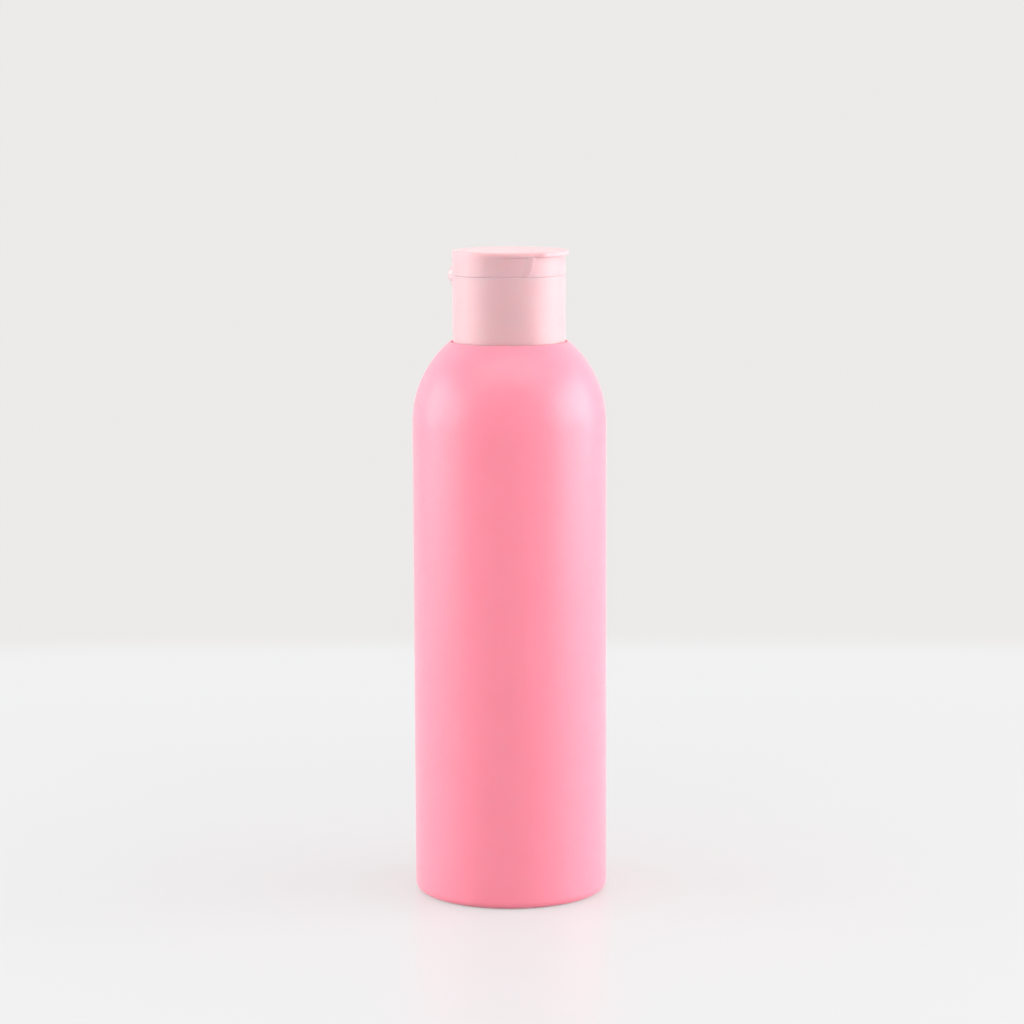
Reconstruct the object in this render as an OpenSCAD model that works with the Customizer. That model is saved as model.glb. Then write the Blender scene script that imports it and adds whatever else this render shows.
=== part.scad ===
/* [Bottle] */
// Outside diameter of the body
body_d = 50; // [44:0.5:60]
// Height of the straight side, from the surface the bottle stands on to the start of the shoulder
side_h = 123.1; // [80:0.1:160]
// Radius of the shoulder's arc, seen from the side
shoulder_r = 27.4; // [26:0.1:32]
// Thickness of the moulded wall of the body
wall_t = 1; // [0.8:0.1:1.6]
// Radius of the rounded heel
heel_r = 2.2; // [1.4:0.1:4]
// Width of the flat ring that the bottle stands on
foot_w = 3; // [2:0.1:5]
// Height of the hollow under the middle of the base
push_up = 2.4; // [1:0.1:4]
// Thickness of the base, and of the ledge that the neck stands on
ledge_t = 1.3; // [1:0.1:2]

/* [Neck] */
// Height of the neck above its ledge
neck_h = 16.4; // [15:0.1:20]
// Diameter of the neck between the turns of its thread
neck_d = 21.6; // [20:0.1:22]
// Bore of the neck
bore_d = 18; // [15:0.1:18.6]
// Outside diameter over the thread
thread_d = 23.7; // [23:0.1:24]
// Rise of the thread in one turn
pitch = 3.175; // [2.9:0.005:3.6]
// Turns of the thread
turns = 1.5; // [1:0.25:2]
// Height of the bead's middle above the neck's ledge
bead_z = 4; // [3:0.1:4.4]
// How far the bead stands out of the neck
bead_out = 0.6; // [0.4:0.1:0.8]

/* [Cap] */
// Outside diameter of the cap
cap_d = 29; // [28.6:0.1:33]
// Thickness of the cap's deck over the neck
deck_t = 1.3; // [1:0.1:1.8]
// Height of the deck above the line where the lid parts from the base
deck_rise = 1; // [0.8:0.1:1.3]
// Thickness of the sealing washer
gasket_t = 1; // [0.6:0.1:1.4]
// Bore of the sealing washer
gasket_bore = 15; // [12:0.5:16]
// Diameter of the dispensing nozzle at its foot
nozzle_d = 7.4; // [6.6:0.1:10]
// Height of the nozzle above the deck
nozzle_h = 2.8; // [2:0.1:3.2]
// Bore that the contents leave by
orifice_d = 3; // [2.4:0.1:3.6]
// Thickness of the nozzle's wall
nozzle_t = 0.9; // [0.7:0.1:1.1]

/* [Lid] */
// Height of the lid, from the parting line to the top
lid_h = 6.3; // [6:0.1:9]
// Thickness of the lid's top plate
top_t = 1.2; // [1:0.1:1.4]
// Thickness of the lid's side wall
lid_t = 1.4; // [1.2:0.1:1.6]
// How far the thumb tab stands out
tab_out = 0.8; // [0.4:0.1:3]
// Angle from the middle of the thumb tab to each of its ends
tab_half_angle = 54; // [30:1:58]
// Angle from the middle of the tab to the near end of each finger flute, at the parting line
flute_near_angle = 61; // [59:1:75]
// Angle from the middle of the tab to where each finger flute has faded out
flute_far_angle = 105; // [90:1:130]
// Depth of the finger flutes at their near end
flute_deep = 0.3; // [0.2:0.05:0.7]
// Lean of each flute's near end, in degrees from upright
flute_lean = 17; // [5:1:20]
// How far the closing pin reaches into the nozzle
pin_reach = 1.1; // [0.6:0.1:1.3]
// Half the angle over which the snap beads run, each side of the tab
snap_half_angle = 35; // [15:1:50]

/* [Hinge] */
// Width of the hinge strap
strap_w = 6; // [5:0.5:10]
// Height of the hinge strap
strap_h = 5.2; // [4.4:0.1:6]
// Thickness of the hinge strap
strap_t = 0.4; // [0.3:0.05:0.5]
// How far the strap bows out past the cap's side
strap_bow = 0.9; // [0.2:0.1:1.4]

/* [Clearances] */
// Between the thread of the neck and the side of the cap
thread_gap = 0.4; // [0.3:0.05:0.6]
// Between the crest of the cap's thread and the neck
crest_gap = 0.35; // [0.25:0.05:0.5]
// Between the flanks of the two threads that pull the cap down
flank_gap = 0.15; // [0.1:0.05:0.25]
// Between the cap's lower edge and the ledge under it
cap_gap = 0.25; // [0.2:0.05:1]
// Between the cap's side and the shoulder's rim
rim_gap = 0.8; // [0.5:0.1:1.5]
// Between the lid's side wall and the raised deck
lid_gap = 0.3; // [0.2:0.05:0.4]
// Between the closing pin and the nozzle's bore
pin_gap = 0.05; // [0.02:0.01:0.1]
// Between the washer and the side of the cap
gasket_gap = 0.2; // [0.1:0.05:0.4]
// Beside the hinge strap, in its window
window_gap = 0.2; // [0.1:0.05:0.4]

/* [Hidden] */
$fn = 96;
arc_steps = 12;
eps = 0.05;

// Rounded edges
rim_drop = 0.55;
rim_round = 0.25;
neck_round = 0.4;
cap_foot_round = 0.35;
parting_round = 0.15;
top_round = 0.85;
tab_round = 0.2;

// The bottle's levels and radii
body_r = body_d / 2;
neck_r = neck_d / 2;
bore_r = bore_d / 2;
cap_r = cap_d / 2;
rim_r = cap_r + rim_gap;
shoulder_x = body_r - shoulder_r;
rim_z = side_h + sqrt(pow(shoulder_r, 2) - pow(rim_r - shoulder_x, 2));
ledge_z = rim_z - rim_drop;
neck_top = ledge_z + neck_h;
foot_in_r = body_r - heel_r - foot_w;
inside_r = body_r - wall_t;
base_flat_r = 3;
ceiling_z = ledge_z - ledge_t;

// The cap's levels and radii
cap_foot_z = ledge_z + cap_gap;
under_deck_z = neck_top + gasket_t;
deck_z = under_deck_z + deck_t;
parting_z = deck_z - deck_rise;
cap_top = parting_z + lid_h;
under_top_z = cap_top - top_t;
cap_in_r = thread_d / 2 + thread_gap;
lid_in_r = cap_r - lid_t;
deck_r = lid_in_r - lid_gap;
nozzle_r = nozzle_d / 2;
nozzle_taper = 0.7;
nozzle_top = deck_z + nozzle_h;
orifice_r = orifice_d / 2;
pin_r = orifice_r - pin_gap;
pin_taper = 0.45;

// The threads: each ridge is wide at its root and narrow at its crest
ridge_root_w = 2;
ridge_crest_w = 0.9;
ridge_bury = 0.4;
ridge_steps = 32;
ridge_lead = 0.1;
thread_r = thread_d / 2;
thread_top_drop = 2.2;
cap_crest_r = neck_r + crest_gap;
thread_z = neck_top - thread_top_drop - turns * pitch;
flank_slope = (ridge_root_w - ridge_crest_w) / 2 / (thread_r - neck_r);
cap_ridge_root_w = ridge_crest_w + 2 * flank_slope * (cap_in_r - cap_crest_r);
ridge_offset = ridge_crest_w + flank_slope * (thread_r - cap_crest_r) + flank_gap;

// The hinge
window_w = strap_w + 2 * window_gap;
window_deep = 0.1;
window_x = sqrt(pow(cap_r, 2) - pow(window_w / 2, 2)) - window_deep;
strap_foot_h = 0.7;
strap_chord = strap_h / 2 - strap_foot_h;
strap_rise = cap_r + strap_bow - window_x - strap_t;
strap_r = (pow(strap_chord, 2) + pow(strap_rise, 2)) / (2 * strap_rise);
strap_x = cap_r + strap_bow - strap_r;

// The snap beads of the lid and the deck, which pass each other as the lid shuts
snap_out = 0.2;
snap_h = 0.3;
snap_low = 0.1;

// Points on an arc about (x, y), from one angle to another
function arc(x, y, r, from, to, steps = arc_steps) =
    [for (i = [0:steps]) let (a = from + (to - from) * i / steps) [x + r * cos(a), y + r * sin(a)]];

// Angle, seen from the side, at which the shoulder's arc reaches a height
function shoulder_angle(z, r) = asin((z - side_h) / r);

// Outline of the bottle's outside, from the middle of the base to the rim of the neck's bore
function bottle_outside() =
    let (
        dome_r = (pow(foot_in_r, 2) + pow(push_up, 2)) / (2 * push_up),
        dome_angle = asin(foot_in_r / dome_r),
        flat_angle = asin(base_flat_r / dome_r),
        rim_angle = shoulder_angle(rim_z, shoulder_r)
    )
    concat(
        [[0, push_up - dome_r * (1 - cos(flat_angle))]],
        arc(0, push_up - dome_r, dome_r, 90 - flat_angle, 90 - dome_angle),
        arc(body_r - heel_r, heel_r, heel_r, -90, 0),
        arc(shoulder_x, side_h, shoulder_r, 0, rim_angle - 1, 2 * arc_steps),
        arc(rim_r - rim_round, rim_z - rim_round, rim_round, rim_angle, 180, 6),
        [[rim_r - 2 * rim_round, ledge_z], [neck_r, ledge_z]],
        [[neck_r, ledge_z + bead_z - 2 * bead_out]],
        arc(neck_r, ledge_z + bead_z, bead_out, -60, 60, 6),
        [[neck_r, ledge_z + bead_z + 2 * bead_out]],
        arc(neck_r - neck_round, neck_top - neck_round, neck_round, 0, 90, 4),
        [[bore_r, neck_top]]
    );

// Outline of the bottle's inside, from the bore of the neck down to the middle of the base
function bottle_inside() =
    let (
        r = shoulder_r - wall_t,
        top_angle = shoulder_angle(ceiling_z - wall_t, r),
        floor_z = push_up + ledge_t,
        corner_r = heel_r
    )
    concat(
        arc(bore_r + wall_t, ceiling_z + wall_t, wall_t, 180, 270, 6),
        arc(shoulder_x + r * cos(top_angle) - wall_t, ceiling_z - wall_t, wall_t, 90, 0, 6),
        arc(shoulder_x, side_h, r, top_angle, 0, 2 * arc_steps),
        arc(inside_r - corner_r, ledge_t + corner_r, corner_r, 0, -90),
        [[foot_in_r - wall_t, ledge_t], [foot_in_r / 2, floor_z - wall_t / 2]],
        [[base_flat_r, floor_z], [0, floor_z]]
    );

// A ridge that climbs around the axis, its root buried in the wall that carries it
module helical_ridge(root_r, crest_r, root_w, crest_w, z) {
    inward = crest_r < root_r ? 1 : -1;
    buried_r = root_r + inward * ridge_bury;
    buried_w = root_w + 2 * flank_slope * ridge_bury;
    last = ceil(turns * ridge_steps);
    rings = [for (i = [0:last])
        let (
            share = min(1, i / last / ridge_lead + eps, (last - i) / last / ridge_lead + eps),
            r = buried_r + (crest_r - buried_r) * share,
            w = buried_w + (crest_w - buried_w) * share,
            a = 360 * turns * i / last,
            level = z + pitch * turns * i / last
        )
        for (corner = [[buried_r, -buried_w / 2], [r, -w / 2], [r, w / 2], [buried_r, buried_w / 2]])
            [corner[0] * cos(a), corner[0] * sin(a), level + corner[1]]];
    turned = inward > 0 ? [3, 2, 1, 0] : [0, 1, 2, 3];
    sides = [for (i = [0:last - 1]) for (k = [0:3])
        let (
            a = 4 * i + turned[k],
            b = 4 * i + turned[(k + 1) % 4]
        )
        for (face = [[a, b, b + 4], [a, b + 4, a + 4]]) face];
    ends = [
        [turned[3], turned[2], turned[1], turned[0]],
        [for (k = [0:3]) 4 * last + turned[k]]
    ];
    polyhedron(points = rings, faces = concat(sides, ends));
}

// A sector of a turned shape, about the X axis and the same to each side of it
module about_x(half_angle) {
    rotate([0, 0, -half_angle]) rotate_extrude(angle = 2 * half_angle) children();
}

// The window across the parting line that the hinge strap lies in
module hinge_window() {
    translate([-window_x - cap_r, -window_w / 2, parting_z - strap_h / 2])
        cube([cap_r, window_w, strap_h]);
}

module bottle() {
    color("#f0879b") union() {
        rotate_extrude() polygon(concat(bottle_outside(), bottle_inside()));
        helical_ridge(neck_r, thread_r, ridge_root_w, ridge_crest_w, thread_z);
    }
}

module gasket() {
    color("#f4f2ee") translate([0, 0, neck_top]) difference() {
        cylinder(r = cap_in_r - gasket_gap, h = gasket_t);
        translate([0, 0, -eps]) cylinder(d = gasket_bore, h = gasket_t + 2 * eps);
    }
}

// Outline of half the screwed part of the cap
function cap_base_outline() =
    let (inner_r = nozzle_r - nozzle_t, inner_top_r = inner_r - nozzle_taper)
    concat(
        [[cap_in_r, cap_foot_z], [cap_in_r, under_deck_z], [inner_r, under_deck_z]],
        [[inner_top_r, nozzle_top - nozzle_t], [orifice_r, nozzle_top - nozzle_t], [orifice_r, nozzle_top]],
        [[nozzle_r - nozzle_taper, nozzle_top], [nozzle_r, deck_z], [deck_r, deck_z], [deck_r, parting_z]],
        arc(cap_r - parting_round, parting_z - parting_round, parting_round, 90, 0, 4),
        arc(cap_r - cap_foot_round, cap_foot_z + cap_foot_round, cap_foot_round, 0, -90, 6)
    );

module cap_base() {
    color("#ecc9cf") difference() {
        union() {
            rotate_extrude() polygon(cap_base_outline());
            helical_ridge(cap_in_r, cap_crest_r, cap_ridge_root_w, ridge_crest_w, thread_z - ridge_offset);
            about_x(snap_half_angle) translate([deck_r - snap_out, deck_z - snap_h - snap_low])
                square([2 * snap_out, snap_h]);
        }
        hinge_window();
    }
}

// Outline of the strap seen from the side: a foot against each half of the cap, and a bow between them
function strap_outline() =
    let (
        outer_angle = acos((window_x + strap_t - strap_x) / strap_r),
        inner_r = strap_r - strap_t,
        inner_angle = acos((window_x - strap_x) / inner_r)
    )
    concat(
        [[window_x, -strap_h / 2], [window_x + strap_t, -strap_h / 2]],
        arc(strap_x, 0, strap_r, -outer_angle, outer_angle, 2 * arc_steps),
        [[window_x + strap_t, strap_h / 2], [window_x, strap_h / 2]],
        arc(strap_x, 0, inner_r, inner_angle, -inner_angle, 2 * arc_steps)
    );

module hinge_strap() {
    color("#e9bfc6") mirror([1, 0, 0]) translate([0, 0, parting_z]) rotate([90, 0, 0])
        linear_extrude(height = strap_w, center = true) polygon(strap_outline());
}

// Outline of half the lid with its closing pin, without its tab and flutes
function lid_outline() = concat(
    [[0, nozzle_top - pin_reach], [pin_r - pin_taper, nozzle_top - pin_reach], [pin_r, nozzle_top]],
    [[pin_r, under_top_z], [lid_in_r, under_top_z], [lid_in_r, parting_z]],
    arc(cap_r - parting_round, parting_z + parting_round, parting_round, -90, 0, 4),
    arc(cap_r - top_round, cap_top - top_round, top_round, 0, 90, 6),
    [[0, cap_top]]
);

// The thumb tab: a lip around the front of the top plate
module thumb_tab() {
    tab_r = cap_r + tab_out;
    buried_r = (lid_in_r + cap_r) / 2;
    about_x(tab_half_angle) polygon(concat(
        [[buried_r, under_top_z]],
        arc(tab_r - tab_round, under_top_z + tab_round, tab_round, -90, 0, 4),
        arc(tab_r - top_round, cap_top - top_round, top_round, 0, 90, 6),
        [[buried_r, cap_top]]
    ));
}

// The hollow of one finger flute: its near end leans towards the tab at the top, and it fades out at its far end,
// because its floor is part of a circle that is set off from the axis
module finger_flute() {
    span = flute_far_angle - flute_near_angle;
    shift = flute_deep / (1 - cos(span));
    floor_r = cap_r + shift * cos(span);
    flute_h = under_top_z - parting_z + eps;
    far_side = 2 * cap_r;
    difference() {
        translate([0, 0, parting_z - eps]) cylinder(r = far_side, h = flute_h);
        rotate([0, 0, flute_near_angle]) translate([-shift, 0, parting_z - 2 * eps])
            cylinder(r = floor_r, h = flute_h + 2 * eps);
        translate([0, 0, parting_z]) rotate([0, 0, flute_near_angle]) rotate([flute_lean, 0, 0])
            translate([-far_side, -2 * far_side, -cap_r]) cube([2 * far_side, 2 * far_side, 2 * cap_r]);
    }
}

module lid() {
    color("#ecc9cf") union() {
        difference() {
            rotate_extrude() polygon(lid_outline());
            finger_flute();
            mirror([0, 1, 0]) finger_flute();
            hinge_window();
        }
        thumb_tab();
        about_x(snap_half_angle) translate([lid_in_r - snap_out, parting_z + snap_low])
            square([2 * snap_out, snap_h]);
    }
}

bottle();
gasket();
cap_base();
hinge_strap();
lid();
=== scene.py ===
"""A round pink cosmetic bottle with a pale-pink flip-top screw cap, in a plain studio."""

import math

import bpy
import numpy as np
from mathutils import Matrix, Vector


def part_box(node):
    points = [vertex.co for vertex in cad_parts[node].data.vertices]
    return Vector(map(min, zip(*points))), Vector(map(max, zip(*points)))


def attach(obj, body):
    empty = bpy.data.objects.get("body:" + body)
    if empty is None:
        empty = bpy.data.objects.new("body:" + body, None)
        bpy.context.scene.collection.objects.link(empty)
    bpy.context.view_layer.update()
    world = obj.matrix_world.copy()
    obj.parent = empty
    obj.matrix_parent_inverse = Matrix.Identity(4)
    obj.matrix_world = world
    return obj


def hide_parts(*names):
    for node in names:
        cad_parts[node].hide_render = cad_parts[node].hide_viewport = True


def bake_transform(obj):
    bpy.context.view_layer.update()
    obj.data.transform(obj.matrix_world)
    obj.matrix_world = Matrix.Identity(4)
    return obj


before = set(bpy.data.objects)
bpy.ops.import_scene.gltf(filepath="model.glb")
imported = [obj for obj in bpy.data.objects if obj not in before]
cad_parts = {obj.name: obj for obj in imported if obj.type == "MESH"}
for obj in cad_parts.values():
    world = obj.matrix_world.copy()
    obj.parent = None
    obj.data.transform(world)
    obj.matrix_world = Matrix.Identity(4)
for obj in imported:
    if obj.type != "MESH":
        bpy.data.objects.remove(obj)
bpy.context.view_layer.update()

MM = 0.001
BOTTLE_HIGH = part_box("bottle")[1]
BASE_LOW, BASE_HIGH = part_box("cap_base")
LID_LOW, LID_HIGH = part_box("lid")
STRAP_LOW, STRAP_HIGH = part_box("hinge_strap")
WASHER_LOW, WASHER_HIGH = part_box("gasket")

# The bottle, in metres, where its box doesn't give the size. The foot's rounding starts at FOOT_FROM degrees, and
# the base's dome and the shoulder stop a few tenths of a degree or so before the rounding that follows them.
BODY_R = BOTTLE_HIGH[0]
WALL_T = 1.0 * MM
BASE_T = 1.3 * MM
HEEL_R = 2.2 * MM
FOOT_W = 3.0 * MM
PUSH_UP = 2.4 * MM
BASE_FLAT_R = 3.0 * MM
SHOULDER_R = 27.4 * MM
RIM_GAP = 0.8 * MM
RIM_DROP = 0.55 * MM
RIM_ROUND = 0.25 * MM
NECK_H = 16.4 * MM
NECK_R = 10.8 * MM
BORE_R = 9.0 * MM
THREAD_R = 11.85 * MM
BEAD_Z = 4.0 * MM
BEAD_OUT = 0.6 * MM
FOOT_ROUND = 0.9 * MM
FOOT_FROM = 232.0
SHORT_OF_FOOT = 0.3
SHORT_OF_RIM = 1.2

# Traces of the mould on the bottle: the parting line up both sides, its width in degrees, and the pinched seam
# across the middle of the base
PARTING_LINE_W = 0.9
PARTING_LINE_OUT = 0.02 * MM
PINCH_HALF_L = 11.0 * MM
PINCH_END = 1.5 * MM
PINCH_HALF_W = 0.25 * MM
PINCH_EDGE = 0.35 * MM
PINCH_OUT = 0.3 * MM

# The cap, the lid and the washer
CAP_R = BASE_HIGH[0]
CAP_IN_R = 12.25 * MM
DECK_R = 12.8 * MM
NOZZLE_R = 3.7 * MM
NOZZLE_T = 0.9 * MM
NOZZLE_TAPER = 0.7 * MM
NOZZLE_H = 2.8 * MM
ORIFICE_R = 1.5 * MM
LID_IN_R = 13.1 * MM
TOP_T = 1.2 * MM
TOP_ROUND = 0.85 * MM
PIN_R = 1.45 * MM
PIN_TAPER = 0.45 * MM
PIN_REACH = 1.1 * MM
TAB_OUT = LID_HIGH[0] - CAP_R
SNAP_HALF_ANGLE = 35.0
SNAP_FADE = 4.0
SNAP_OUT = 0.2 * MM
CAP_PLAIN_END = 1.6 * MM
WASHER_BORE_R = 7.5 * MM
WASHER_ROUND = 0.15 * MM

# Levels
NECK_TOP = BOTTLE_HIGH[2]
LEDGE_Z = NECK_TOP - NECK_H
RIM_Z = LEDGE_Z + RIM_DROP
RIM_R = CAP_R + RIM_GAP
SHOULDER_X = BODY_R - SHOULDER_R
SIDE_H = RIM_Z - math.sqrt(SHOULDER_R ** 2 - (RIM_R - SHOULDER_X) ** 2)
PARTING_Z = LID_LOW[2] if LID_LOW[2] > BASE_LOW[2] else LID_HIGH[2]
CAP_TOP = LID_HIGH[2]
UNDER_TOP = CAP_TOP - TOP_T
NOZZLE_TOP = BASE_HIGH[2]
DECK_Z = NOZZLE_TOP - NOZZLE_H
UNDER_DECK = WASHER_HIGH[2]

# The thread, which fades in and out over a part of a turn, and the cap's thread that runs under it
PITCH = 3.175 * MM
TURNS = 1.5
THREAD_LEAD = 0.12
THREAD_FROM_TOP = 2.2 * MM
RIDGE_ROOT_W = 2.0 * MM
RIDGE_CREST_W = 0.9 * MM
RIDGE_SOFT = 0.1
THREAD_Z = NECK_TOP - THREAD_FROM_TOP - TURNS * PITCH
CREST_GAP = 0.35 * MM
FLANK_GAP = 0.15 * MM
FLANK_SLOPE = (RIDGE_ROOT_W - RIDGE_CREST_W) / 2 / (THREAD_R - NECK_R)
CAP_CREST_R = NECK_R + CREST_GAP
CAP_THREAD_Z = THREAD_Z - RIDGE_CREST_W - FLANK_SLOPE * (THREAD_R - CAP_CREST_R) - FLANK_GAP

# The thumb tab and the finger flutes beside it: angles in degrees from the middle of the tab
TAB_HALF_ANGLE = 54.0
TAB_FADE = 12.0
TAB_END = 0.8
FLUTE_NEAR = 54.8
FLUTE_NEAR_FOOT = 60.6
FLUTE_FAR = 105.0
FLUTE_DEEP = 0.3 * MM
FLUTE_SHIFT = FLUTE_DEEP / (1 - math.cos(math.radians(FLUTE_FAR - FLUTE_NEAR)))
FLUTE_STEP = 8.5
FLUTE_EDGE_OUT = 0.07 * MM
FLUTE_EDGE_BEFORE = 2.5
FLUTE_EDGE_AFTER = 4.0
FLUTE_LEAN_NEAR = 2.0
FLUTE_LEAN_FAR = 24.0
OVERHANG_FADE = 12.0
FLUTE_EDGE_RINGS = (-2.5, -2, -1.4, -0.7, 0, 0.6, 1.2, 2, 3, 4)

# The hinge
STRAP_W = STRAP_HIGH[1] - STRAP_LOW[1]
STRAP_H = STRAP_HIGH[2] - STRAP_LOW[2]
STRAP_T = 0.4 * MM
STRAP_FOOT = 0.7 * MM
WINDOW_X = -STRAP_HIGH[0]
WINDOW_GAP = 0.2 * MM
WINDOW_W = STRAP_W + 2 * WINDOW_GAP
WINDOW_EDGE = 0.15

# The plastics, each a colour, a roughness and the share of light that scatters inside it
BOTTLE_PINK = ((0.92, 0.254, 0.338), 0.34, 0.5)
CAP_PALE_PINK = ((0.65, 0.404, 0.428), 0.38, 0.7)
STRAP_PALE_PINK = ((0.9, 0.82, 0.825), 0.4, 0)
WASHER_WHITE = ((0.9, 0.88, 0.85), 0.8, 0.1)
STRAP_SEE_THROUGH = 0.75

# The studio
CAMERA_AZIMUTH = math.radians(10)
TABLE_COLOUR = (0.884, 0.884, 0.89)
BACKDROP_COLOUR = (0.842, 0.828, 0.815)
TABLE_REACH = 0.352
TABLE_EDGE = 0.026
TABLE_PLAIN_SHARE = 0.5
TABLE_SHADE_REACH = 0.05
TABLE_PLAIN_REACH = 0.27
TABLE_DIFFUSE = 0.64
FILL_IN_FRONT = 0.46
FILL_BEHIND = 1.75
FILL_TURN = 0.6
CEILING_FROM = 0.65
CEILING_TO = 0.85
CEILING_SHARE = 0.0
LEFT_LAMP_W = 5.5
RIGHT_LAMP_W = 7.4
FRONT_LAMP_W = 4.4
SIDE_LAMP_SIZE = (0.8, 0.5)
FRONT_LAMP_SIZE = (1.0, 0.4)

# How finely the pieces are turned: steps round the axis, the radius that counts as on it, the last step that closes
# a section, steps along a thread and a wall, and the most of an edge that a rounding may take
AROUND = 288
AXIS_R = 0.02 * MM
CLOSING_STEP = 0.02 * MM
THREAD_STEP = 0.16 * MM
BASE_WALL_STEP = 0.6 * MM
LID_WALL_STEP = 0.2 * MM
ROUNDING_SHARE = 0.48


def arc(x, z, r, start, end, steps):
    """Points on an arc about (x, z), angles in degrees."""
    angles = np.radians(np.linspace(start, end, steps + 1))
    return [(x + r * math.cos(a), z + r * math.sin(a)) for a in angles]


def rounded(corners, steps=6):
    """The outline through corners (r, z, rounding, tag), with an arc at each corner that has a rounding."""
    out = []
    for i, (r, z, rounding, tag) in enumerate(corners):
        here = np.array([r, z])
        if rounding == 0 or i in (0, len(corners) - 1):
            out.append((r, z, tag))
            continue
        back = np.array(corners[i - 1][:2]) - here
        on = np.array(corners[i + 1][:2]) - here
        back_u, on_u = back / np.linalg.norm(back), on / np.linalg.norm(on)
        half = math.acos(np.clip(np.dot(back_u, on_u), -1, 1)) / 2
        reach = min(rounding / math.tan(half), ROUNDING_SHARE * min(np.linalg.norm(back), np.linalg.norm(on)))
        radius = reach * math.tan(half)
        middle = here + (back_u + on_u) / np.linalg.norm(back_u + on_u) * radius / math.sin(half)
        first, last = here + back_u * reach, here + on_u * reach
        for t in np.linspace(0, 1, steps + 1):
            spoke = (first - middle) * (1 - t) + (last - middle) * t
            point = middle + spoke / np.linalg.norm(spoke) * radius
            out.append((point[0], point[1], tag))
    return out


def filled(points, step, tag):
    """The outline with extra points where it runs through that tag, no further than step apart."""
    out = [points[0]]
    for before, after in zip(points, points[1:]):
        gap = math.hypot(after[0] - before[0], after[1] - before[1])
        if before[2] == tag and after[2] == tag:
            count = max(1, math.ceil(gap / step))
            for i in range(1, count):
                t = i / count
                out.append((before[0] * (1 - t) + after[0] * t, before[1] * (1 - t) + after[1] * t, tag))
        out.append(after)
    return out


def step_between(value, low, high):
    """0 below low, 1 above high, and smooth between."""
    t = min(1.0, max(0.0, (value - low) / (high - low)))
    return t * t * (3 - 2 * t)


def angles_with(extra=()):
    """Angles around the axis in degrees, even and with extra ones where a feature has an edge."""
    even = np.arange(AROUND) * 360.0 / AROUND
    spare = 0.2 * 360.0 / AROUND
    kept = [a for a in even if all(abs((a - e + 180) % 360 - 180) > spare for e in extra)]
    return sorted(kept + [e % 360 for e in extra])


def turned(name, outline, place=None, angles=None):
    """A closed mesh turned about the axis from an outline of (r, z, tag). place shapes it: it gets the tag, r, z and
    the angle in degrees from -180 to 180, and returns the same three. Ends of the outline on the axis are closed."""
    angles = angles_with() if angles is None else angles
    rings, verts = [], []
    for r, z, tag in outline:
        if r < AXIS_R:
            rings.append([len(verts)])
            verts.append((0, 0, z))
            continue
        ring = []
        for angle in angles:
            a = (angle + 180) % 360 - 180
            rr, zz, aa = place(tag, r, z, a) if place else (r, z, a)
            ring.append(len(verts))
            verts.append((rr * math.cos(math.radians(aa)), rr * math.sin(math.radians(aa)), zz))
        rings.append(ring)
    loop = rings[0] != rings[-1] and len(rings[0]) > 1
    faces, count = [], len(angles)
    pairs = list(zip(rings, rings[1:])) + ([(rings[-1], rings[0])] if loop else [])
    for low, high in pairs:
        for i in range(count):
            j = (i + 1) % count
            if len(low) == 1:
                faces.append((low[0], high[j], high[i]))
            elif len(high) == 1:
                faces.append((low[i], low[j], high[0]))
            else:
                faces.append((low[i], low[j], high[j], high[i]))
    return mesh_object(name, verts, faces)


def mesh_object(name, verts, faces, sharp_angle=40):
    """A smooth-shaded object with its normals outwards and its sharp edges kept."""
    mesh = bpy.data.meshes.new(name)
    mesh.from_pydata(verts, [], faces)
    mesh.validate()
    obj = bpy.data.objects.new(name, mesh)
    bpy.context.scene.collection.objects.link(obj)
    for poly in mesh.polygons:
        poly.use_smooth = True
    mesh.set_sharp_from_angle(angle=math.radians(sharp_angle))
    weighted = obj.modifiers.new("weighted", "WEIGHTED_NORMAL")
    weighted.keep_sharp = True
    return obj


def ridge(z, angle, start_z, root_w):
    """How high the thread's ridge stands at this place, from 0 to 1: the ridge climbs one pitch a turn."""
    best = 0.0
    for turn in range(-1, math.ceil(TURNS) + 1):
        along = (angle % 360) / 360 + turn
        if not 0 <= along <= TURNS:
            continue
        off = abs(z - start_z - PITCH * along)
        flank = (root_w / 2 - off) / (root_w / 2 - RIDGE_CREST_W / 2)
        share = min(1.0, along / THREAD_LEAD, (TURNS - along) / THREAD_LEAD)
        best = max(best, step_between(flank, -RIDGE_SOFT, 1 + RIDGE_SOFT) * step_between(share, 0, 1))
    return best


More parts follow.
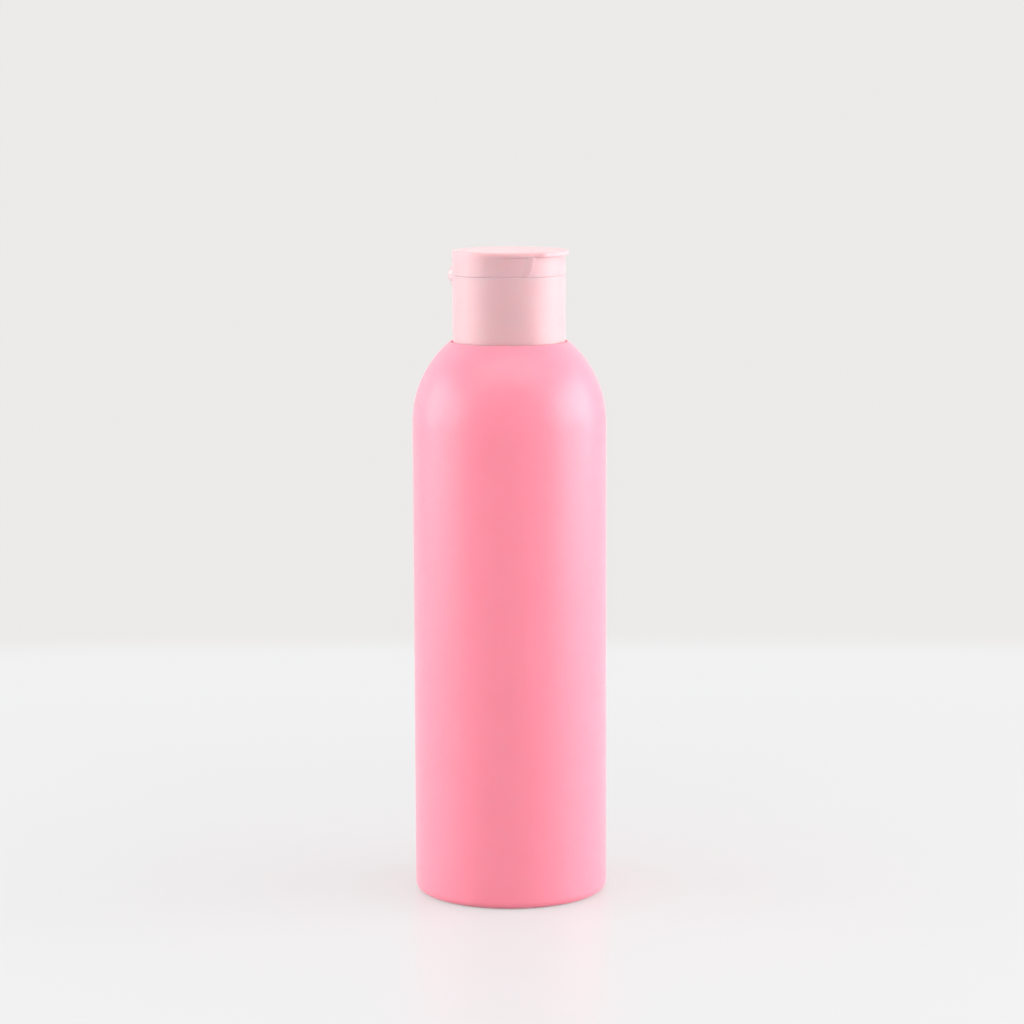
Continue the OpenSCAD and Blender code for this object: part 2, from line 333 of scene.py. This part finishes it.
def bottle_outline():
    """Corners of the bottle from the middle of its base, up its outside, over the neck and down its inside."""
    foot_in_r = BODY_R - HEEL_R - FOOT_W
    dome_r = (foot_in_r ** 2 + PUSH_UP ** 2) / (2 * PUSH_UP)
    flat = math.degrees(math.asin(BASE_FLAT_R / dome_r))
    dome = math.degrees(math.asin(foot_in_r / dome_r))
    rim = math.degrees(math.asin((RIM_Z - SIDE_H) / SHOULDER_R))
    inside_r = BODY_R - WALL_T
    ceiling = LEDGE_Z - BASE_T
    in_arc_r = SHOULDER_R - WALL_T
    top = math.degrees(math.asin((ceiling - WALL_T - SIDE_H) / in_arc_r))
    floor_z = PUSH_UP + BASE_T
    dome_z = PUSH_UP - dome_r * (1 - math.cos(math.radians(flat)))

    points = [(0, dome_z, "dome")]
    points += [(r, z, "dome") for r, z in [(0.5 * MM, dome_z), (1.5 * MM, dome_z)]]
    points += [(r, z, "dome") for r, z in arc(0, PUSH_UP - dome_r, dome_r, 90 - flat, 90 - dome + SHORT_OF_FOOT, 24)]
    points += [(r, z, "foot") for r, z in arc(foot_in_r + FOOT_ROUND, FOOT_ROUND, FOOT_ROUND, FOOT_FROM, 270, 4)]
    points += [(r, z, "skin") for r, z in arc(BODY_R - HEEL_R, HEEL_R, HEEL_R, -90, 0, 14)]
    points += [(BODY_R, z, "skin") for z in np.linspace(HEEL_R, SIDE_H, 12)[1:-1]]
    points += [(r, z, "skin") for r, z in arc(SHOULDER_X, SIDE_H, SHOULDER_R, 0, rim - SHORT_OF_RIM, 40)]
    points += [(r, z, "") for r, z in arc(RIM_R - RIM_ROUND, RIM_Z - RIM_ROUND, RIM_ROUND, rim, 180, 8)]
    neck = rounded([
        (RIM_R - 2 * RIM_ROUND, RIM_Z - RIM_ROUND, 0, ""),
        (RIM_R - 2 * RIM_ROUND, LEDGE_Z, 0.15 * MM, ""),
        (NECK_R, LEDGE_Z, 0.3 * MM, ""),
        (NECK_R, LEDGE_Z + BEAD_Z - 2 * BEAD_OUT, 0.2 * MM, ""),
        (NECK_R + BEAD_OUT, LEDGE_Z + BEAD_Z - 0.5 * BEAD_OUT, 0.25 * MM, ""),
        (NECK_R + BEAD_OUT, LEDGE_Z + BEAD_Z + 0.5 * BEAD_OUT, 0.25 * MM, ""),
        (NECK_R, LEDGE_Z + BEAD_Z + 2 * BEAD_OUT, 0.2 * MM, "thread"),
        (NECK_R, NECK_TOP, 0.4 * MM, "thread"),
        (BORE_R, NECK_TOP, 0.4 * MM, ""),
        (BORE_R, ceiling, 1.0 * MM, ""),
        (SHOULDER_X + in_arc_r * math.cos(math.radians(top)) - WALL_T, ceiling, 0, ""),
    ])
    points += filled(neck[1:], THREAD_STEP, "thread")
    points += [(r, z, "") for r, z in arc(SHOULDER_X, SIDE_H, in_arc_r, top, 0, 16)]
    points += [(r, z, "") for r, z in arc(inside_r - HEEL_R, BASE_T + HEEL_R, HEEL_R, 0, -90, 8)]
    points += [(foot_in_r - WALL_T, BASE_T, ""), (foot_in_r / 2, floor_z - WALL_T / 2, "")]
    points += [(BASE_FLAT_R, floor_z, ""), (0, floor_z, "")]
    return points


def shape_bottle(tag, r, z, angle):
    """The thread on the neck, the mould's faint parting line and the pinched seam under the base."""
    if tag == "thread":
        return r + (THREAD_R - NECK_R) * ridge(z, angle, THREAD_Z, RIDGE_ROOT_W), z, angle
    if tag == "skin":
        off = min(abs(angle), 180 - abs(angle))
        return r - PARTING_LINE_OUT * step_between(off, 0.2 * PARTING_LINE_W, PARTING_LINE_W), z, angle
    if tag == "dome":
        x, y = r * math.cos(math.radians(angle)), r * math.sin(math.radians(angle))
        across = 1 - step_between(abs(y), PINCH_HALF_W, PINCH_HALF_W + PINCH_EDGE)
        along = 1 - step_between(abs(x), PINCH_HALF_L, PINCH_HALF_L + PINCH_END)
        return r, z - PINCH_OUT * across * along, angle
    return r, z, angle


def cap_base_outline():
    """Corners of the screwed half of the cap, all the way round its section."""
    inner_r = NOZZLE_R - NOZZLE_T
    foot_z = BASE_LOW[2]
    corners = [
        (CAP_IN_R, foot_z, 0, ""),
        (CAP_IN_R, foot_z + CAP_PLAIN_END, 0, "thread"),
        (CAP_IN_R, UNDER_DECK - CAP_PLAIN_END, 0, "thread"),
        (CAP_IN_R, UNDER_DECK, 0.3 * MM, ""),
        (inner_r, UNDER_DECK, 0.3 * MM, ""),
        (inner_r - NOZZLE_TAPER, NOZZLE_TOP - NOZZLE_T, 0.2 * MM, ""),
        (ORIFICE_R, NOZZLE_TOP - NOZZLE_T, 0.1 * MM, ""),
        (ORIFICE_R, NOZZLE_TOP, 0.15 * MM, ""),
        (NOZZLE_R - NOZZLE_TAPER, NOZZLE_TOP, 0.3 * MM, ""),
        (NOZZLE_R, DECK_Z, 0.5 * MM, ""),
        (DECK_R, DECK_Z, 0.25 * MM, "bead"),
        (DECK_R, PARTING_Z, 0.1 * MM, ""),
        (CAP_R, PARTING_Z, 0.15 * MM, "wall"),
        (CAP_R, foot_z, 0.3 * MM, "wall"),
        (CAP_IN_R + CLOSING_STEP, foot_z, 0, ""),
    ]
    return filled(filled(rounded(corners), THREAD_STEP, "thread"), BASE_WALL_STEP, "wall")


def in_window(r, z, angle):
    """The radius, cut back to the flat of the hinge's window across the parting line."""
    y = r * math.sin(math.radians(angle))
    if abs(angle) < 90 or abs(y) > WINDOW_W / 2 or abs(z - PARTING_Z) > STRAP_H / 2:
        return r
    return min(r, WINDOW_X / -math.cos(math.radians(angle)))


def shape_cap_base(tag, r, z, angle):
    """The cap's thread, its snap bead and the hinge's window."""
    if tag == "thread":
        root_w = RIDGE_CREST_W + 2 * FLANK_SLOPE * (CAP_IN_R - CAP_CREST_R)
        return r - (CAP_IN_R - CAP_CREST_R) * ridge(z, angle, CAP_THREAD_Z, root_w), z, angle
    if tag == "wall":
        return in_window(r, z, angle), z, angle
    if tag == "bead":
        share = 1 - step_between(abs(angle), SNAP_HALF_ANGLE - SNAP_FADE, SNAP_HALF_ANGLE)
        return r + 0.5 * SNAP_OUT * share, z, angle
    return r, z, angle


def lid_outline():
    """Corners of the lid from the tip of its pin, out along its inside and back over its top."""
    pin_z = NOZZLE_TOP - PIN_REACH
    underside_draft = 0.12 * MM
    corners = [
        (0, pin_z, 0, ""),
        (PIN_R - PIN_TAPER, pin_z, 0.15 * MM, ""),
        (PIN_R, NOZZLE_TOP, 0.2 * MM, ""),
        (PIN_R, UNDER_TOP, 0.4 * MM, ""),
        (LID_IN_R, UNDER_TOP, 0.3 * MM, ""),
        (LID_IN_R, PARTING_Z, 0.1 * MM, ""),
        (CAP_R, PARTING_Z, 0.15 * MM, "wall"),
        (CAP_R, UNDER_TOP - underside_draft, 0, "wall"),
        (CAP_R + TAB_OUT, UNDER_TOP, 0.15 * MM, "lip"),
        (CAP_R + TAB_OUT, CAP_TOP, TOP_ROUND, "lip"),
        (0, CAP_TOP, 0, ""),
    ]
    return filled(rounded(corners, steps=8), LID_WALL_STEP, "wall")


def near_edge(z):
    """Angle of a flute's near edge at a height: upright under the tab, and leaning away lower down."""
    up = min(1.0, max(0.0, (z - PARTING_Z) / (UNDER_TOP - PARTING_Z)))
    return FLUTE_NEAR + (FLUTE_NEAR_FOOT - FLUTE_NEAR) * (1 - up) ** 2


def flute_depth(off):
    """Depth of the flute at this angle from its near edge: a small raised edge, a soft step down, and then a floor
    that fades out because it is part of a circle set off from the axis."""
    if off > FLUTE_FAR:
        return 0
    along, span = math.radians(max(0.0, off - FLUTE_NEAR)), math.radians(FLUTE_FAR - FLUTE_NEAR)
    floor = FLUTE_SHIFT * (math.cos(along) - math.cos(span))
    rise = step_between(off, FLUTE_NEAR - FLUTE_EDGE_BEFORE, FLUTE_NEAR)
    rise -= step_between(off, FLUTE_NEAR, FLUTE_NEAR + FLUTE_EDGE_AFTER)
    return floor * step_between(off, FLUTE_NEAR, FLUTE_NEAR + FLUTE_STEP) - FLUTE_EDGE_OUT * rise


def shape_lid(tag, r, z, angle):
    """The finger flutes with their leaning near edge, the thumb tab and the hinge's window."""
    off = abs(angle)
    if tag == "wall":
        fade = 1 - step_between(abs(off - FLUTE_NEAR), FLUTE_LEAN_NEAR, FLUTE_LEAN_FAR)
        lean = (near_edge(z) - FLUTE_NEAR) * fade
        return in_window(r - flute_depth(off), z, angle), z, math.copysign(off + lean, angle)
    if tag == "lip":
        inset = CAP_R + TAB_OUT - r
        tab = TAB_OUT * (1 - step_between(off, TAB_HALF_ANGLE - TAB_FADE, TAB_HALF_ANGLE + TAB_END))
        on_top = z > (UNDER_TOP + CAP_TOP) / 2
        overhang = 1 if on_top else 1 - step_between(off, FLUTE_FAR - OVERHANG_FADE, FLUTE_FAR)
        return in_window(CAP_R + tab - inset * overhang, z, angle), z, angle
    return r, z, angle


def lid_angles():
    """Angles that catch the edges of the tab, the flutes and the window."""
    near = [FLUTE_NEAR + off for off in FLUTE_EDGE_RINGS]
    edges = [TAB_HALF_ANGLE - TAB_FADE] + near + [FLUTE_FAR]
    return angles_with(edges + [-e for e in edges] + window_edges())


def window_edges():
    """Angles just inside and outside the sides of the hinge's window."""
    edge = 180 - math.degrees(math.asin(WINDOW_W / 2 / CAP_R))
    return [edge - WINDOW_EDGE, edge + WINDOW_EDGE, -edge + WINDOW_EDGE, -edge - WINDOW_EDGE]


def hinge_strap():
    """The strap: a thin bowed film with a foot against each half of the cap, rounded along its sides."""
    bow = -STRAP_LOW[0] - WINDOW_X - STRAP_T
    chord = STRAP_H / 2 - STRAP_FOOT
    radius = (chord ** 2 + bow ** 2) / (2 * bow)
    middle_x = -STRAP_LOW[0] - radius
    half = math.degrees(math.asin(chord / radius))
    outer = [(WINDOW_X + STRAP_T, -STRAP_H / 2), (WINDOW_X + STRAP_T, -STRAP_H / 2 + 0.4 * STRAP_FOOT)]
    outer += arc(middle_x, 0, radius, -half, half, 24)
    outer += [(WINDOW_X + STRAP_T, STRAP_H / 2 - 0.4 * STRAP_FOOT), (WINDOW_X + STRAP_T, STRAP_H / 2)]
    inner = [(max(x - STRAP_T * math.cos(math.atan2(z, x - middle_x)), WINDOW_X), z * (1 - STRAP_T / radius))
             for x, z in outer]
    inner[0], inner[-1] = (WINDOW_X, -STRAP_H / 2), (WINDOW_X, STRAP_H / 2)
    edge = 0.1 * MM
    # Each point across the film: its place along the hinge, and its share of the thickness from outside to inside
    across = [(-STRAP_W / 2, 0.5), (-STRAP_W / 2, 0.22), (-STRAP_W / 2 + edge, 0.0), (STRAP_W / 2 - edge, 0.0),
              (STRAP_W / 2, 0.22), (STRAP_W / 2, 0.78), (STRAP_W / 2 - edge, 1.0), (-STRAP_W / 2 + edge, 1.0),
              (-STRAP_W / 2, 0.78)]
    verts, faces = [], []
    for (ox, oz), (ix, iz) in zip(outer, inner):
        verts += [(-(ox + (ix - ox) * t), y, PARTING_Z + oz + (iz - oz) * t) for y, t in across]
    n = len(across)
    for i in range(len(outer) - 1):
        for k in range(n):
            faces.append((i * n + k, i * n + (k + 1) % n, (i + 1) * n + (k + 1) % n, (i + 1) * n + k))
    faces.append(tuple(range(n))[::-1])
    faces.append(tuple((len(outer) - 1) * n + k for k in range(n)))
    return mesh_object("hinge_strap_film", verts, faces, sharp_angle=50)


def washer_outline():
    """Corners of the sealing washer."""
    out_r = WASHER_HIGH[0]
    return rounded([
        (WASHER_BORE_R, WASHER_LOW[2] + CLOSING_STEP, 0, ""),
        (WASHER_BORE_R, WASHER_HIGH[2], WASHER_ROUND, ""),
        (out_r, WASHER_HIGH[2], WASHER_ROUND, ""),
        (out_r, WASHER_LOW[2], WASHER_ROUND, ""),
        (WASHER_BORE_R, WASHER_LOW[2], 0, ""),
    ])


def plastic(name, look, grain_scale, grain_height, mottle=0.02, through=0):
    """Moulded plastic: an even colour with a faint mottle, a fine grain in the bump and a little light inside it.
    look is its colour, its roughness and its scatter. through is the share of light that a thin film lets pass."""
    colour, roughness, scatter = look
    material = bpy.data.materials.new(name)
    material.use_nodes = True
    nodes, links = material.node_tree.nodes, material.node_tree.links
    shader = nodes["Principled BSDF"]
    shader.inputs["IOR"].default_value = 1.5
    shader.inputs["Specular IOR Level"].default_value = 0.35
    shader.inputs["Sheen Weight"].default_value = 0.1
    shader.inputs["Sheen Roughness"].default_value = 0.4
    shader.inputs["Subsurface Weight"].default_value = scatter
    shader.inputs["Subsurface Radius"].default_value = (1.0, 0.3, 0.36)
    shader.inputs["Subsurface Scale"].default_value = 2.0 * MM

    where = nodes.new("ShaderNodeTexCoord")
    cloud = nodes.new("ShaderNodeTexNoise")
    cloud.inputs["Scale"].default_value = 90
    cloud.inputs["Detail"].default_value = 3
    links.new(where.outputs["Object"], cloud.inputs["Vector"])
    tint = nodes.new("ShaderNodeMix")
    tint.data_type = "RGBA"
    tint.inputs["A"].default_value = (*[c * (1 - mottle) for c in colour], 1)
    tint.inputs["B"].default_value = (*[min(1.0, c * (1 + mottle)) for c in colour], 1)
    links.new(cloud.outputs["Fac"], tint.inputs["Factor"])
    links.new(tint.outputs["Result"], shader.inputs["Base Color"])

    fine = nodes.new("ShaderNodeTexNoise")
    fine.inputs["Scale"].default_value = grain_scale
    fine.inputs["Detail"].default_value = 4
    links.new(where.outputs["Object"], fine.inputs["Vector"])
    uneven = nodes.new("ShaderNodeMapRange")
    uneven.inputs["To Min"].default_value = roughness - 0.04
    uneven.inputs["To Max"].default_value = roughness + 0.04
    links.new(fine.outputs["Fac"], uneven.inputs["Value"])
    links.new(uneven.outputs["Result"], shader.inputs["Roughness"])
    bump = nodes.new("ShaderNodeBump")
    bump.inputs["Distance"].default_value = grain_height
    bump.inputs["Strength"].default_value = 0.5
    links.new(fine.outputs["Fac"], bump.inputs["Height"])
    links.new(bump.outputs["Normal"], shader.inputs["Normal"])
    if through:
        film = nodes.new("ShaderNodeBsdfTranslucent")
        links.new(tint.outputs["Result"], film.inputs["Color"])
        mix = nodes.new("ShaderNodeMixShader")
        mix.inputs["Fac"].default_value = through
        links.new(shader.outputs["BSDF"], mix.inputs[1])
        links.new(film.outputs["BSDF"], mix.inputs[2])
        links.new(mix.outputs["Shader"], nodes["Material Output"].inputs["Surface"])
    return material


def dress(obj, material, body, node):
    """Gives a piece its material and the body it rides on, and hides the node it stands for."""
    obj.data.materials.append(material)
    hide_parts(node)
    if body:
        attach(obj, body)
    return obj


def build_object():
    """The bottle, both halves of the cap and the washer, each on the body it moves with, and the strap."""
    pink = plastic("bottle_pink", BOTTLE_PINK, 1600, 0.03 * MM)
    pale = plastic("cap_pale_pink", CAP_PALE_PINK, 1800, 0.02 * MM)
    thin = plastic("strap_pale_pink", STRAP_PALE_PINK, 1800, 0.01 * MM, through=STRAP_SEE_THROUGH)
    foam = plastic("washer_foam", WASHER_WHITE, 700, 0.15 * MM, mottle=0.05)
    dress(turned("bottle_shell", bottle_outline(), shape_bottle), pink, "bottle", "bottle")
    base = turned("cap_base_shell", cap_base_outline(), shape_cap_base, angles_with(window_edges()))
    dress(base, pale, "cap", "cap_base")
    dress(turned("lid_shell", lid_outline(), shape_lid, lid_angles()), pale, "lid", "lid")
    dress(turned("sealing_washer", washer_outline()), foam, "washer", "gasket")
    strap = dress(hinge_strap(), thin, None, "hinge_strap")
    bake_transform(strap)


def seen_ray(nodes, links):
    """A socket that is 1 for what the camera sees, straight or in gloss and glass, and 0 for light that bounces."""
    path = nodes.new("ShaderNodeLightPath")
    ray = path.outputs["Is Camera Ray"]
    for other in ("Is Glossy Ray", "Is Transmission Ray"):
        either = nodes.new("ShaderNodeMath")
        either.operation = "MAXIMUM"
        links.new(ray, either.inputs[0])
        links.new(path.outputs[other], either.inputs[1])
        ray = either.outputs[0]
    return ray


def maths(nodes, links, operation, first, second):
    """A Math node on two values, each a socket or a number."""
    node = nodes.new("ShaderNodeMath")
    node.operation = operation
    for socket, value in zip(node.inputs, (first, second)):
        if isinstance(value, (int, float)):
            socket.default_value = value
        else:
            links.new(value, socket)
    return node.outputs[0]


def table_material():
    """A pale table top that ends softly in the backdrop's colour. Part of its look is its plain colour, so that the
    bottle's shadow on it stays faint, as under light from all round. Further from the bottle all of it is."""
    material = bpy.data.materials.new("table_pale")
    material.use_nodes = True
    nodes, links = material.node_tree.nodes, material.node_tree.links
    shader = nodes["Principled BSDF"]
    shader.inputs["Base Color"].default_value = (*[c * TABLE_DIFFUSE for c in TABLE_COLOUR], 1)
    shader.inputs["Roughness"].default_value = 0.3

    where = nodes.new("ShaderNodeTexCoord")
    axes = nodes.new("ShaderNodeSeparateXYZ")
    links.new(where.outputs["Object"], axes.inputs["Vector"])
    powers = [maths(nodes, links, "POWER", maths(nodes, links, "ABSOLUTE", axes.outputs[k], 0), 4) for k in "XY"]
    reach = maths(nodes, links, "POWER", maths(nodes, links, "ADD", *powers), 0.25)
    edge = nodes.new("ShaderNodeMapRange")
    edge.interpolation_type = "SMOOTHSTEP"
    edge.inputs["From Min"].default_value = TABLE_REACH - TABLE_EDGE
    edge.inputs["From Max"].default_value = TABLE_REACH + TABLE_EDGE
    links.new(reach, edge.inputs["Value"])
    tone = nodes.new("ShaderNodeMix")
    tone.data_type = "RGBA"
    tone.inputs["A"].default_value = (*TABLE_COLOUR, 1)
    tone.inputs["B"].default_value = (*BACKDROP_COLOUR, 1)
    links.new(edge.outputs["Result"], tone.inputs["Factor"])
    plain = nodes.new("ShaderNodeEmission")
    links.new(tone.outputs["Result"], plain.inputs["Color"])
    share = nodes.new("ShaderNodeMapRange")
    share.interpolation_type = "SMOOTHSTEP"
    share.inputs["From Min"].default_value = TABLE_SHADE_REACH
    share.inputs["From Max"].default_value = TABLE_PLAIN_REACH
    share.inputs["To Min"].default_value = TABLE_PLAIN_SHARE
    links.new(reach, share.inputs["Value"])
    mix = nodes.new("ShaderNodeMixShader")
    links.new(maths(nodes, links, "MULTIPLY", share.outputs["Result"], seen_ray(nodes, links)), mix.inputs["Fac"])
    links.new(shader.outputs["BSDF"], mix.inputs[1])
    links.new(plain.outputs["Emission"], mix.inputs[2])
    links.new(mix.outputs["Shader"], nodes["Material Output"].inputs["Surface"])
    return material


def build_stage():
    """A wide pale floor under the bottle."""
    half = 4.0
    floor = mesh_object("floor", [(-half, -half, 0), (half, -half, 0), (half, half, 0), (-half, half, 0)],
                        [(0, 1, 2, 3)])
    floor.rotation_euler = (0, 0, CAMERA_AZIMUTH)
    floor.data.materials.append(table_material())


def softbox(name, place, target, size, power):
    """A large soft lamp at place that faces target."""
    light = bpy.data.lights.new(name, "AREA")
    light.shape = "RECTANGLE"
    light.size, light.size_y = size
    light.energy = power
    lamp = bpy.data.objects.new(name, light)
    lamp.location = place
    lamp.rotation_euler = (Vector(target) - Vector(place)).to_track_quat("-Z", "Y").to_euler()
    bpy.context.scene.collection.objects.link(lamp)


def build_world():
    """A fill that is bright behind the bottle, less so in front and dark overhead. The camera sees the backdrop's
    colour in its place."""
    world = bpy.data.worlds.new("studio")
    world.use_nodes = True
    nodes, links = world.node_tree.nodes, world.node_tree.links
    fill = nodes["Background"]
    fill.inputs["Color"].default_value = (1, 1, 1, 1)
    where = nodes.new("ShaderNodeTexCoord")
    away = nodes.new("ShaderNodeVectorMath")
    away.operation = "DOT_PRODUCT"
    away.inputs[1].default_value = round_camera(0, 1, 0)
    links.new(where.outputs["Generated"], away.inputs[0])
    level = nodes.new("ShaderNodeMapRange")
    level.interpolation_type = "SMOOTHSTEP"
    level.inputs["From Min"].default_value = -FILL_TURN
    level.inputs["From Max"].default_value = FILL_TURN
    level.inputs["To Min"].default_value = FILL_IN_FRONT
    level.inputs["To Max"].default_value = FILL_BEHIND
    links.new(away.outputs["Value"], level.inputs["Value"])
    axes = nodes.new("ShaderNodeSeparateXYZ")
    links.new(where.outputs["Generated"], axes.inputs["Vector"])
    ceiling = nodes.new("ShaderNodeMapRange")
    ceiling.interpolation_type = "SMOOTHSTEP"
    ceiling.inputs["From Min"].default_value = CEILING_FROM
    ceiling.inputs["From Max"].default_value = CEILING_TO
    ceiling.inputs["To Min"].default_value = 1.0
    ceiling.inputs["To Max"].default_value = CEILING_SHARE
    links.new(axes.outputs["Z"], ceiling.inputs["Value"])
    strength = maths(nodes, links, "MULTIPLY", level.outputs["Result"], ceiling.outputs["Result"])
    links.new(strength, fill.inputs["Strength"])
    backdrop = nodes.new("ShaderNodeBackground")
    backdrop.inputs["Color"].default_value = (*BACKDROP_COLOUR, 1)
    mix = nodes.new("ShaderNodeMixShader")
    links.new(seen_ray(nodes, links), mix.inputs["Fac"])
    links.new(fill.outputs["Background"], mix.inputs[1])
    links.new(backdrop.outputs["Background"], mix.inputs[2])
    links.new(mix.outputs["Shader"], nodes["World Output"].inputs["Surface"])
    bpy.context.scene.world = world


def round_camera(right, away, up):
    """A place given from the camera's point of view: to its right, away from it and up, in metres."""
    c, s = math.cos(CAMERA_AZIMUTH), math.sin(CAMERA_AZIMUTH)
    return (right * c - away * s, right * s + away * c, up)


def build_lights():
    """Two low softboxes beside the bottle, the right one brighter, and one high up in front of it."""
    middle = (0, 0, 0.08)
    softbox("left_softbox", round_camera(-0.74, -0.06, 0.26), middle, SIDE_LAMP_SIZE, LEFT_LAMP_W)
    softbox("right_softbox", round_camera(0.74, -0.06, 0.26), middle, SIDE_LAMP_SIZE, RIGHT_LAMP_W)
    softbox("front_softbox", round_camera(0, -0.36, 0.84), middle, FRONT_LAMP_SIZE, FRONT_LAMP_W)


def build_camera():
    """The photograph's view: a long lens, a little above the bottle and looking down."""
    focal_pixels, image_pixels, sensor = 3284.7, 1024, 36.0
    distance, height, aside = 842.8 * MM, 220.7 * MM, 1.06 * MM
    pitch, roll = math.radians(8.18), math.radians(0.22)
    camera = bpy.data.cameras.new("camera")
    camera.sensor_width = sensor
    camera.lens = focal_pixels / image_pixels * sensor
    holder = bpy.data.objects.new("camera", camera)
    holder.location = round_camera(aside, -distance, height)
    holder.rotation_euler = (math.pi / 2 - pitch, roll, CAMERA_AZIMUTH)
    bpy.context.scene.collection.objects.link(holder)
    bpy.context.scene.camera = holder


build_object()
build_stage()
build_world()
build_lights()
build_camera()
bpy.context.scene.view_settings.view_transform = "Standard"
